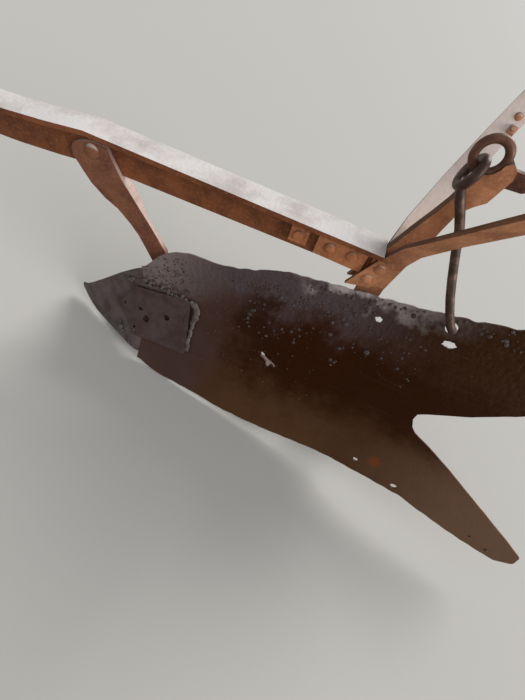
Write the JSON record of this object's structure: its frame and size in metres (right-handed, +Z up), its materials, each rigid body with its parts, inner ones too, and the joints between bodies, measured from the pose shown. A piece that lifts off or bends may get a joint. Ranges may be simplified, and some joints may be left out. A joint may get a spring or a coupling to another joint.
{
  "type": "moldboard plough",
  "caption": "Turn-wrest plough with a T beam, forked strut, iron handle bars and a swallow-tailed moldboard that swings over on a shaft and is held by a hook.",
  "frame": {"origin": "middle of the bounding box in plan, at the floor it stands on", "axes": "+X the way the plough goes, +Y the side on which the moldboard lies at rest, +Z up"},
  "size_m": [1.42, 0.52, 0.8186],
  "materials": {
    "rusty_beam_steel": "rusted, matt",
    "dark_iron": "dark rust, matt",
    "dark_moldboard_steel": "dark rust, scaled",
    "share_steel": "dark rust with weld beads",
    "worn_sole_steel": "worn, rusted",
    "hook_steel": "rubbed bare on the high places",
    "worn_wood": "worn, bare"
  },
  "bodies": {
    "frame": {"beam": "rusty_beam_steel", "hitch_cheek_left": "rusty_beam_steel", "hitch_cheek_right": "rusty_beam_steel", "hitch_rivets": "dark_iron", "strut": "rusty_beam_steel", "strut_bolt": "dark_iron", "beam_bolt": "dark_iron", "fish_plate_left": "rusty_beam_steel", "fish_plate_right": "rusty_beam_steel", "plate_rivets": "dark_iron", "standard": "rusty_beam_steel", "ring_eye": "hook_steel", "handle_left": "rusty_beam_steel", "handle_right": "rusty_beam_steel", "handle_bolts": "dark_iron", "grip_left": "worn_wood", "grip_right": "worn_wood", "cross_stay": "rusty_beam_steel", "handle_brace": "dark_iron", "pivot_shaft": "dark_iron", "shaft_nuts": "dark_iron", "nose_bearing": "rusty_beam_steel", "rear_bearing": "rusty_beam_steel", "sole_bar": "worn_sole_steel", "heel_shoe": "worn_sole_steel"},
    "turning_body": {"moldboard": "dark_moldboard_steel", "share": "share_steel", "patch_plate": "share_steel", "front_carrier": "dark_iron", "rear_carrier": "dark_iron"},
    "hook": {"hook_rod": "hook_steel"}
  },
  "joints": [
    {"name": "moldboard_turn", "type": "hinge", "parent": "frame", "child": "turning_body", "pos_m": [0.38, 0, 0.0236], "axis": [-0.9925, 0, 0.1219], "range_deg": [0, 225]},
    {"name": "hook_swing", "type": "hinge", "parent": "frame", "child": "hook", "pos_m": [-0.14485, 0, 0.48881], "axis": [0.9511, 0, 0.309], "range_deg": [0, 70]}
  ]
}
